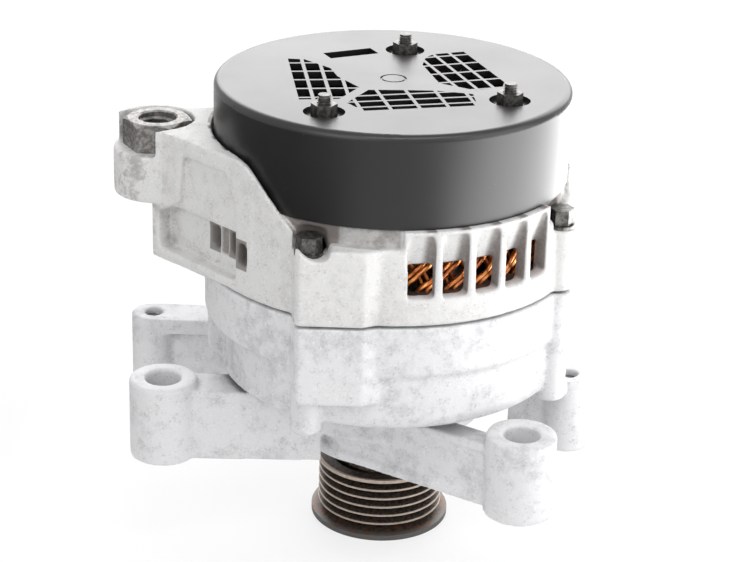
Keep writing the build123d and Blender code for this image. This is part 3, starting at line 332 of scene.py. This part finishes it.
def pulleySteel():
    # dark brown in the grooves, polished along the ridges, grey flange with rust at its foot
    finish = Finish("pulleySteel", Metallic=0.6)
    r, z = finish.radius(), finish.axis("Z")
    grit = finish.noise(1.1 * mm, 5.0, 0.65)
    turning = finish.add("ShaderNodeTexNoise", {"noise_dimensions": "1D"},
                         {"W": z * 3000 + r * 3000, "Scale": 1.0, "Detail": 2.0})
    crest = r.band(23.45 * mm, 23.75 * mm) * z.band(3.0 * mm, 3.4 * mm)
    colour = finish.mix(grit.band(0.35, 0.65), (0.028, 0.021, 0.017), (0.105, 0.08, 0.064))
    colour = finish.mix(crest * (0.4 + grit * 0.8).least(1.0), colour, (0.56, 0.47, 0.4))
    flange = (1 - z.band(2.2 * mm, 2.8 * mm))
    colour = finish.mix(flange, colour, (0.13, 0.127, 0.122))
    rust = z.band(1.8 * mm, 2.2 * mm) * (1 - z.band(3.6 * mm, 4.4 * mm))
    rust = rust * finish.noise(3 * mm, 4.0, 0.7).band(0.5, 0.6)
    colour = finish.mix(rust * 0.6, colour, (0.2, 0.07, 0.03))
    return finish.give(Base_Color=colour, Roughness=0.34 + grit * 0.25,
                       Normal=finish.bump(turning + grit * 0.6, 0.03 * mm, 0.5))


def copperWire(name, shaded_copper, lit):
    # enamelled copper: random patches of a deep shaded and a bright lit copper colour, painted shade and
    # highlight; painted shade near black where the wires are sheltered
    finish = Finish(name, Metallic=0.85, Coat_Weight=0.6, Coat_Roughness=0.12)
    highlight_and_shade_patches = finish.noise(3 * mm, 4.0, 0.6)
    streak = finish.noise(0.8 * mm, 2.0, 0.5, (1, 1, 0.35))
    colour = finish.mix(highlight_and_shade_patches.band(0.35, 0.65), shaded_copper, lit)
    # painted shade: ambient occlusion takes the copper to near black between and behind the wires
    colour = finish.mix((1 - finish.openness(6 * mm)).band(0.35, 0.8) * 0.85, colour, (0.02, 0.008, 0.005))
    return finish.give(Base_Color=colour, Roughness=0.2 + streak * 0.2,
                       Normal=finish.bump(streak, 0.04 * mm, 0.4))


def mouldedPlastic(name, colour, paler, rough):
    finish = Finish(name)
    texture = finish.noise(0.5 * mm, 2.0, 0.6)
    tone = finish.noise(9 * mm, 3.0, 0.5)
    return finish.give(Base_Color=finish.mix(tone, colour, paler), Roughness=rough + tone * 0.15,
                       Normal=finish.bump(texture, 0.03 * mm, 0.5))


def lamination():
    finish = Finish("lamination", Metallic=0.7)
    sheets = finish.add("ShaderNodeTexWave", {"bands_direction": "Z"},
                        {"Vector": finish.coords, "Scale": 2 / (6.2832 * 0.5 * mm) * pi})
    rusty = finish.noise(7 * mm, 4.0, 0.6).band(0.45, 0.65)
    colour = finish.mix(rusty, (0.12, 0.11, 0.1), (0.2, 0.12, 0.08))
    return finish.give(Base_Color=colour, Roughness=0.45 + sheets * 0.2,
                       Normal=finish.bump(sheets, 0.05 * mm, 0.6))


def sheetAluminium(name, dark, light):
    finish = Finish(name, Metallic=0.9)
    brushed = finish.noise(0.6 * mm, 2.0, 0.5, (1, 1, 0.1))
    dust = finish.noise(6 * mm, 4.0, 0.6)
    return finish.give(Base_Color=finish.mix(dust.band(0.35, 0.65), dark, light),
                       Roughness=0.4 + brushed * 0.15 + dust * 0.1,
                       Normal=finish.bump(brushed, 0.02 * mm, 0.4))


materials = {
    "frontCasting": frontCasting(),
    "rearCasting": rearCasting(),
    "cover": blackCover(),
    "pulley": pulleySteel(),
    "spacer": steel("spacerSteel", (0.09, 0.07, 0.06), (0.2, 0.165, 0.14), 0.35, 0.6),
    "darkSteel": steel("darkSteel", (0.07, 0.068, 0.064), (0.2, 0.195, 0.185), 0.32, 0.5),
    "zinc": steel("zincSteel", (0.27, 0.265, 0.25), (0.46, 0.45, 0.43), 0.3, 0.5),
    "dirtyZinc": steel("dirtyZinc", (0.16, 0.155, 0.15), (0.36, 0.35, 0.34), 0.45, 0.6, 0.15),
    "shaft": steel("shaftSteel", (0.3, 0.29, 0.28), (0.45, 0.44, 0.43), 0.25, 0.4),
    "pole": steel("poleSteel", (0.13, 0.115, 0.1), (0.26, 0.24, 0.22), 0.4, 0.6, 0.3),
    "bearing": steel("bearingSteel", (0.58, 0.58, 0.58), (0.7, 0.7, 0.71), 0.12, 0.22),
    "spring": steel("springWire", (0.45, 0.45, 0.44), (0.6, 0.6, 0.59), 0.25, 0.35),
    "lamination": lamination(),
    "copper": copperWire("windingCopper", (0.4, 0.1, 0.02), (0.95, 0.36, 0.09)),
    "bareCopper": copperWire("bareCopper", (0.55, 0.22, 0.1), (0.78, 0.36, 0.18)),
    "heatSink": sheetAluminium("heatSink", (0.32, 0.32, 0.31), (0.5, 0.5, 0.49)),
    "fan": sheetAluminium("fanSheet", (0.36, 0.35, 0.34), (0.52, 0.51, 0.5)),
    "moulding": mouldedPlastic("blackMoulding", (0.018, 0.018, 0.018), (0.035, 0.034, 0.033), 0.45),
    "bobbin": mouldedPlastic("bobbinNylon", (0.3, 0.2, 0.1), (0.4, 0.28, 0.15), 0.4),
    "carbon": mouldedPlastic("brushCarbon", (0.03, 0.03, 0.03), (0.06, 0.058, 0.055), 0.5),
}
finishOf = {
    "drive_end_bracket": "frontCasting",
    "slip_ring_end_bracket": "rearCasting",
    "rear_cover": "cover",
    "pulley": "pulley",
    "pulley_spacer": "spacer",
    "pulley_nut": "zinc",
    "rotor_shaft": "shaft",
    "front_claw_pole": "pole",
    "rear_claw_pole": "pole",
    "coil_bobbin": "bobbin",
    "field_coil": "copper",
    "front_fan": "fan",
    "rear_fan": "fan",
    "stator_core": "lamination",
    "stator_winding": "copper",
    "slip_ring_sleeve": "bobbin",
    "slip_ring_inner": "bareCopper",
    "slip_ring_outer": "bareCopper",
    "through_bolts": "darkSteel",
    "bearing_retainer": "zinc",
    "retainer_screws": "zinc",
    "regulator_screws": "zinc",
    "cover_studs": "darkSteel",
    "cover_nuts": "darkSteel",
    "captive_nut": "dirtyZinc",
    "b_plus_stud": "bareCopper",
    "b_plus_nut": "zinc",
    "b_plus_insulator": "moulding",
    "negative_heat_sink": "heatSink",
    "positive_heat_sink": "heatSink",
    "negative_diodes": "heatSink",
    "positive_diodes": "heatSink",
    "rectifier_insulators": "moulding",
    "rectifier_terminal_board": "moulding",
    "regulator_body": "moulding",
    "regulator_pins": "bareCopper",
    "brush_holder": "moulding",
    "brush_inner": "carbon",
    "brush_outer": "carbon",
    "brush_spring_inner": "spring",
    "brush_spring_outer": "spring",
}
for node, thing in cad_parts.items():
    finishName = finishOf.get(node, "bearing")
    thing.data.materials.clear()
    thing.data.materials.append(materials[finishName])
print("materials made:", len(materials))


# camera, floor and lights

view = {"target": (-4.31 * mm, 0, 96.0 * mm), "distance": 769.1 * mm, "elevation": 22.96, "roll": 1.814,
        "lens": 98.7}


def addCamera(view):
    target = Vector(view["target"])
    rise = radians(view["elevation"])
    place = target + view["distance"] * Vector((0, -cos(rise), sin(rise)))
    bpy.ops.object.camera_add(location=place)
    camera = bpy.context.object
    turn = (target - place).to_track_quat("-Z", "Y").to_matrix().to_4x4()
    camera.matrix_world = Matrix.Translation(place) @ turn @ Matrix.Rotation(radians(view["roll"]), 4, "Z")
    camera.data.lens = view["lens"]
    camera.data.sensor_width = 36
    camera.data.clip_start = 0.01
    bpy.context.scene.camera = camera


def addSoftbox(name, place, aim, size, watts):
    bpy.ops.object.light_add(type="AREA", location=place)
    lamp = bpy.context.object
    lamp.name = name
    lamp.rotation_euler = (Vector(aim) - Vector(place)).to_track_quat("-Z", "Y").to_euler()
    lamp.data.shape = "RECTANGLE"
    lamp.data.size, lamp.data.size_y = size
    lamp.data.energy = watts
    lamp.visible_camera = False


def floorFinish():
    # pale floor: plain white for the camera with the object's shadow kept
    finish = Finish("floorWhite", Roughness=0.6)
    finish.give(Base_Color=(0.9, 0.9, 0.9, 1))
    glow = finish.add("ShaderNodeEmission", {}, {"Color": (1, 1, 1, 1), "Strength": 1.0})
    seen = finish.add("ShaderNodeLightPath", {}, {}, "Is Camera Ray")
    lit = Value(finish, finish.shader.outputs[0])
    mixed = finish.add("ShaderNodeMixShader", {}, {0: seen * 0.72, 1: lit, 2: glow})
    output = finish.tree.nodes["Material Output"]
    finish.tree.links.new(mixed.socket, output.inputs["Surface"])
    return finish.material


def whiteWorld(strength):
    # soft white surroundings, plain white where the camera or a shiny surface sees them
    world = bpy.data.worlds.new("studio")
    bpy.context.scene.world = world
    world.use_nodes = True
    nodes, links = world.node_tree.nodes, world.node_tree.links
    background = nodes["Background"]
    background.inputs["Color"].default_value = (1, 1, 1, 1)
    path = nodes.new("ShaderNodeLightPath")
    seen = nodes.new("ShaderNodeMath")
    seen.operation = "MAXIMUM"
    links.new(path.outputs["Is Camera Ray"], seen.inputs[0])
    links.new(path.outputs["Is Glossy Ray"], seen.inputs[1])
    either = nodes.new("ShaderNodeMath")
    either.operation = "MAXIMUM"
    links.new(seen.outputs[0], either.inputs[0])
    links.new(path.outputs["Is Transmission Ray"], either.inputs[1])
    level = nodes.new("ShaderNodeMapRange")
    level.inputs["To Min"].default_value = strength
    level.inputs["To Max"].default_value = 1.0
    links.new(either.outputs[0], level.inputs["Value"])
    links.new(level.outputs[0], background.inputs["Strength"])


def addCard(name, place, size, glow):
    # a card flat on the floor that only shiny surfaces see: black at glow 0, bright above it
    bpy.ops.mesh.primitive_plane_add(size=1, location=place)
    card = bpy.context.object
    card.name = name
    card.scale = (*size, 1)
    applyPlace(card)
    finish = Finish(name + "Card", Roughness=1.0, Emission_Strength=glow)
    card.data.materials.append(finish.give(Base_Color=(0.01, 0.01, 0.01, 1), Emission_Color=(1, 1, 1, 1)))
    card.visible_camera = False
    card.visible_diffuse = False
    card.visible_shadow = False
    card.visible_transmission = False


bpy.context.scene.view_settings.view_transform = "Standard"
deselectAll()
addCamera(view)
whiteWorld(0.5)
middle = (0, 0, 0.09)
addSoftbox("backBox", (0.25, 1.9, 1.0), middle, (2.6, 1.4), 38)
addSoftbox("rightBox", (1.3, -0.5, 0.5), middle, (1.4, 1.4), 11)
addSoftbox("leftBox", (-0.9, -1.3, 1.1), middle, (1.0, 1.0), 7)
addSoftbox("topBox", (0.15, -0.42, 1.0), (0, 0, 0.15), (0.9, 0.14), 3)
addCard("leftCard", (-0.46, -0.02, 0.003), (0.62, 0.9), 0)
addCard("rightCard", (0.5, 0.1, 0.003), (0.62, 0.9), 7)
bpy.ops.mesh.primitive_plane_add(size=1, location=(0, 0, 0))
floor = bpy.context.object
floor.name = "floor"
floor.scale = (8, 8, 1)
applyPlace(floor)
floor.data.materials.append(floorFinish())
print("camera, floor and lights set")


# the two castings, with the soft edges and skin that casting leaves

casting = {"voxel": 0.75 * mm, "smoothing": 5, "most": 190000}


def prism(name, outline, near, far):
    # solid with this outline in X and Z, from y = near to y = far
    bpy.ops.mesh.primitive_circle_add(vertices=len(outline), radius=1, fill_type="NGON", location=(0, 0, 0))
    made = bpy.context.object
    made.name = name
    for corner, (x, z) in zip(made.data.vertices, outline):
        corner.co = (x * mm, near * mm, z * mm)
    activate(made)
    bpy.ops.object.mode_set(mode="EDIT")
    bpy.ops.mesh.select_all(action="SELECT")
    bpy.ops.mesh.extrude_region_move(TRANSFORM_OT_translate={"value": (0, (far - near) * mm, 0)})
    bpy.ops.mesh.select_all(action="SELECT")
    bpy.ops.mesh.normals_make_consistent(inside=False)
    bpy.ops.object.mode_set(mode="OBJECT")
    return made


def cutWith(piece, cutter, operation="DIFFERENCE"):
    applyModifier(piece, "BOOLEAN", object=cutter, operation=operation, solver="EXACT")
    bpy.data.objects.remove(cutter)


# the arm's free edge sweeps down to the through bolt's seat, outside the cover
armEdge = {"curve": [(-54, 157.7), (-51, 157.1), (-48.6, 155.7), (-46.4, 153.4), (-44.2, 150.9),
                     (-42, 148.4), (-38.7, 144.4), (-35.6, 141), (-33, 138.2), (-30.2, 135),
                     (-27.4, 132.6), (-24.6, 131.4), (-21.8, 131.5), (-20.2, 132.8), (-19.4, 135.6)],
           "top": 165, "near": -80, "far": -30, "coverR": 64.5}


def shapeArmEdge(skin):
    a = armEdge
    outline = a["curve"] + [(a["curve"][-1][0], a["top"]), (a["curve"][0][0], a["top"])]
    cutter = prism("armEdgeCutter", outline, a["near"], a["far"])
    bpy.ops.mesh.primitive_cylinder_add(vertices=160, radius=a["coverR"] * mm, depth=100 * mm,
                                        location=(0, 0, 140 * mm))
    applyPlace(bpy.context.object)
    cutWith(cutter, bpy.context.object)
    cutWith(skin, cutter)


# floor of the recess in the arm's face: distance from the axis, and its reach along the face and in z
armPanel = {"facing": -135, "blocks": [(63.2, 66.1, -46.5, -15, 129.3, 152),
                                       (64.95, 66.1, -15.2, -7, 129.3, 152)]}


def fillArmPanel(skin):
    blocks = []
    for inner, outer, low, high, bottom, top in armPanel["blocks"]:
        bpy.ops.mesh.primitive_cube_add(size=1, location=((inner + outer) / 2 * mm, (low + high) / 2 * mm,
                                                          (bottom + top) / 2 * mm))
        block = bpy.context.object
        block.scale = ((outer - inner) * mm, (high - low) * mm, (top - bottom) * mm)
        applyPlace(block)
        block.data.transform(Matrix.Rotation(radians(armPanel["facing"]), 4, "Z"))
        blocks.append(block)
    return joinAll([skin] + blocks, skin.name)


def castSkin(node, name, finishName, shaping=()):
    skin = copyNode(node, name)
    for shape in shaping:
        skin = shape(skin) or skin
    applyModifier(skin, "REMESH", mode="VOXEL", voxel_size=casting["voxel"])
    applyModifier(skin, "SMOOTH", factor=0.5, iterations=casting["smoothing"])
    triangles = sum(len(face.vertices) - 2 for face in skin.data.polygons)
    applyModifier(skin, "DECIMATE", ratio=min(1.0, casting["most"] / triangles))
    skin.data.materials.append(materials[finishName])
    smoothByAngle(skin, 50)
    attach(skin, "housing")
    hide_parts(node)
    print(name, len(skin.data.polygons), "faces")
    return skin


castSkin("drive_end_bracket", "driveEndCasting", "frontCasting")
castSkin("slip_ring_end_bracket", "slipRingEndCasting", "rearCasting", (shapeArmEdge, fillArmPanel))


# threads, and the captive nut with its chamfer

def threadRidge(name, rootR, crestR, pitch, length, low):
    # one thread about Z from low upwards, its foot sunk a little into the shank or the wall
    sunk = 0.1 if crestR > rootR else -0.1
    corners = [(rootR - sunk, 0), (crestR, 0.32), (crestR, 0.48), (rootR - sunk, 0.8)]
    bpy.ops.mesh.primitive_circle_add(vertices=len(corners), radius=1, location=(0, 0, 0))
    ridge = bpy.context.object
    ridge.name = name
    for vertex, (radius, part) in zip(ridge.data.vertices, corners):
        vertex.co = (radius * mm, 0, (low + part * pitch) * mm)
    applyModifier(ridge, "SCREW", angle=2 * pi, screw_offset=pitch * mm, iterations=int(length / pitch),
                  steps=16, render_steps=16, use_merge_vertices=False)
    activate(ridge)
    bpy.ops.object.mode_set(mode="EDIT")
    bpy.ops.mesh.select_all(action="SELECT")
    bpy.ops.mesh.remove_doubles(threshold=0.001 * mm)
    bpy.ops.mesh.fill_holes(sides=8)
    bpy.ops.mesh.select_all(action="SELECT")
    bpy.ops.mesh.normals_make_consistent(inside=False)
    bpy.ops.object.mode_set(mode="OBJECT")
    return ridge


def rod(name, x, y, low, high, radius, sides=32):
    bpy.ops.mesh.primitive_cylinder_add(vertices=sides, radius=radius * mm, depth=(high - low) * mm,
                                        location=(x * mm, y * mm, (low + high) / 2 * mm))
    made = bpy.context.object
    made.name = name
    applyPlace(made)
    return made


def finishPiece(piece, finishName, body, angle=40, nodes=()):
    piece.data.materials.clear()
    piece.data.materials.append(materials[finishName])
    smoothByAngle(piece, angle)
    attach(piece, body)
    if nodes:
        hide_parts(*nodes)
    print(piece.name, len(piece.data.polygons), "faces")


def millimetres(box):
    return [[value / mm for value in corner] for corner in box]


# studs of the cover: M5 with a threaded end
stud = {"places": [(-23.5, -40.5), (4.2, 36.0), (40.8, -21.5)], "rootR": 2.1, "crestR": 2.5, "pitch": 0.8,
        "threaded": 9, "tip": 0.5}
(_, _, studLow), (_, _, studTop) = millimetres(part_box("cover_studs"))
parts = []
for x, y in stud["places"]:
    parts.append(rod("stud", x, y, studLow, studTop - stud["threaded"], stud["crestR"]))
    parts.append(rod("stud", x, y, studTop - stud["threaded"] - 0.5, studTop, stud["rootR"]))
    thread = threadRidge("studThread", stud["rootR"], stud["crestR"], stud["pitch"],
                         stud["threaded"] - stud["tip"], studTop - stud["threaded"])
    thread.data.transform(Matrix.Translation((x * mm, y * mm, 0)))
    parts.append(thread)
finishPiece(joinAll(parts, "coverStuds"), "darkSteel", "housing", 30, ("cover_studs",))

# tapped lugs of the drive end: M8
lug = {"places": [(-90.1, 24.2, 40, 70), (68.7, -17.8, 40, 69)], "wallR": 3.4, "crestR": 3.1, "pitch": 1.25}
parts = []
for x, y, low, high in lug["places"]:
    thread = threadRidge("lugThread", lug["wallR"], lug["crestR"], lug["pitch"], high - low - 2, low + 0.6)
    thread.data.transform(Matrix.Translation((x * mm, y * mm, 0)))
    parts.append(thread)
finishPiece(joinAll(parts, "lugThreads"), "dirtyZinc", "housing", 30)

# captive nut: M14, chamfered to a circle at its top
captive = {"flats": 22.0, "rootR": 6.9, "crestR": 5.92, "pitch": 2.0, "chamferR": 10.7, "slope": 1.7}
(nutX, nutY, nutLow), (nutX2, nutY2, nutTop) = millimetres(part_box("captive_nut"))
nutX, nutY = (nutX + nutX2) / 2, (nutY + nutY2) / 2
nut = rod("captiveNut", 0, 0, nutLow, nutTop, captive["flats"] / 3 ** 0.5, 6)
nut.data.transform(Matrix.Rotation(radians(30), 4, "Z"))
height = nutTop - nutLow
bpy.ops.mesh.primitive_cone_add(vertices=96, radius1=(captive["chamferR"] + height * captive["slope"]) * mm,
                                radius2=captive["chamferR"] * mm, depth=height * mm,
                                location=(0, 0, (nutLow + nutTop) / 2 * mm))
applyPlace(bpy.context.object)
cutWith(nut, bpy.context.object, "INTERSECT")
cutWith(nut, rod("nutBore", 0, 0, nutLow - 1, nutTop + 1, captive["rootR"], 48))
bpy.ops.mesh.primitive_cone_add(vertices=48, radius1=(captive["crestR"] - 1) * mm,
                                radius2=(captive["rootR"] + 1.0) * mm,
                                depth=2.6 * mm, location=(0, 0, (nutTop - 0.9) * mm))
applyPlace(bpy.context.object)
cutWith(nut, bpy.context.object)
thread = threadRidge("nutThread", captive["rootR"], captive["crestR"], captive["pitch"], height - 1,
                     nutLow + 0.2)
nut = joinAll([nut, thread], "captiveNut")
nut.data.transform(Matrix.Translation((nutX * mm, nutY * mm, 0)))
finishPiece(nut, "dirtyZinc", "housing", 30, ("captive_nut",))

# free end of the battery terminal: M8
terminal = {"x": 20, "z": 161, "rootR": 3.6, "crestR": 4.0, "pitch": 1.25, "length": 9.9}
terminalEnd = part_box("b_plus_stud")[1][1] / mm
thread = threadRidge("terminalThread", terminal["rootR"], terminal["crestR"], terminal["pitch"],
                     terminal["length"], terminalEnd - terminal["length"] - 0.4)
thread.data.transform(Matrix.Rotation(-pi / 2, 4, "X"))
thread.data.transform(Matrix.Translation((terminal["x"] * mm, 0, terminal["z"] * mm)))
finishPiece(thread, "bareCopper", "housing", 30)


# stator windings: bundles of enamelled wire leaning over the core's ends

winding = {"bundles": 36, "wires": 2, "wire": 0.95 * mm, "spread": 2.9, "lean": 14, "footR": 57.6 * mm,
           "outerR": 59.2 * mm, "crownR": 56.2 * mm, "innerR": 52.6 * mm, "rise": 11.0 * mm}


def around(radius, angle, z):
    return Vector((radius * cos(radians(angle)), radius * sin(radians(angle)), z))


def wire(name, points, radius):
    bpy.ops.curve.primitive_nurbs_path_add(radius=1, location=(0, 0, 0))
    path = bpy.context.object
    path.name = name
    spline = path.data.splines[0]
    spline.points.add(len(points) - len(spline.points))
    for point, place in zip(spline.points, points):
        point.co = (*place, 1)
    spline.use_endpoint_u = True
    spline.order_u = 4
    spline.resolution_u = 4
    path.data.bevel_depth = radius
    path.data.bevel_resolution = 1
    activate(path)
    bpy.ops.object.convert(target="MESH")
    return bpy.context.object


def windingHead(name, baseZ, up, outerShrink):
    # each bundle leaves its slot, leans along the head, folds over the crown and comes back inside
    w = winding
    strands = []
    for k in range(w["wires"]):
        along = k * w["spread"]
        step = up * w["rise"]
        out = w["outerR"] - outerShrink
        strands.append(wire(name, [
            around(w["footR"] - outerShrink, along, baseZ - up * 1.5 * mm),
            around(out - 0.6 * mm, along + 0.5, baseZ + up * 1.2 * mm),
            around(out, along + 5, baseZ + step * 0.32),
            around(out, along + w["lean"] * 0.55, baseZ + step * 0.68),
            around(out - 0.3 * mm, along + w["lean"] * 0.85, baseZ + step * 0.92),
            around(w["crownR"] - outerShrink * 0.5, along + w["lean"], baseZ + step * 1.04),
            around(w["innerR"] + 0.6 * mm, along + w["lean"] + 3, baseZ + step * 0.88),
            around(w["innerR"], along + w["lean"] * 1.5, baseZ + step * 0.4),
            around(w["innerR"], along + w["lean"] * 1.7, baseZ - up * 1.5 * mm)], w["wire"]))
    bundle = joinAll(strands, name)
    return joinAll(turnedCopies(bundle, w["bundles"], 360 / w["bundles"]), name)


coreLow, coreHigh = (corner[2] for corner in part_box("stator_core"))
heads = [windingHead("rearHead", coreHigh, 1, 0), windingHead("frontHead", coreLow, -1, 2.6 * mm)]
windings = joinAll(heads, "windings")
windings.data.materials.clear()
windings.data.materials.append(materials["copper"])
smoothByAngle(windings, 60)
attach(windings, "housing")
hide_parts("stator_winding")
print("windings", len(windings.data.polygons), "faces")
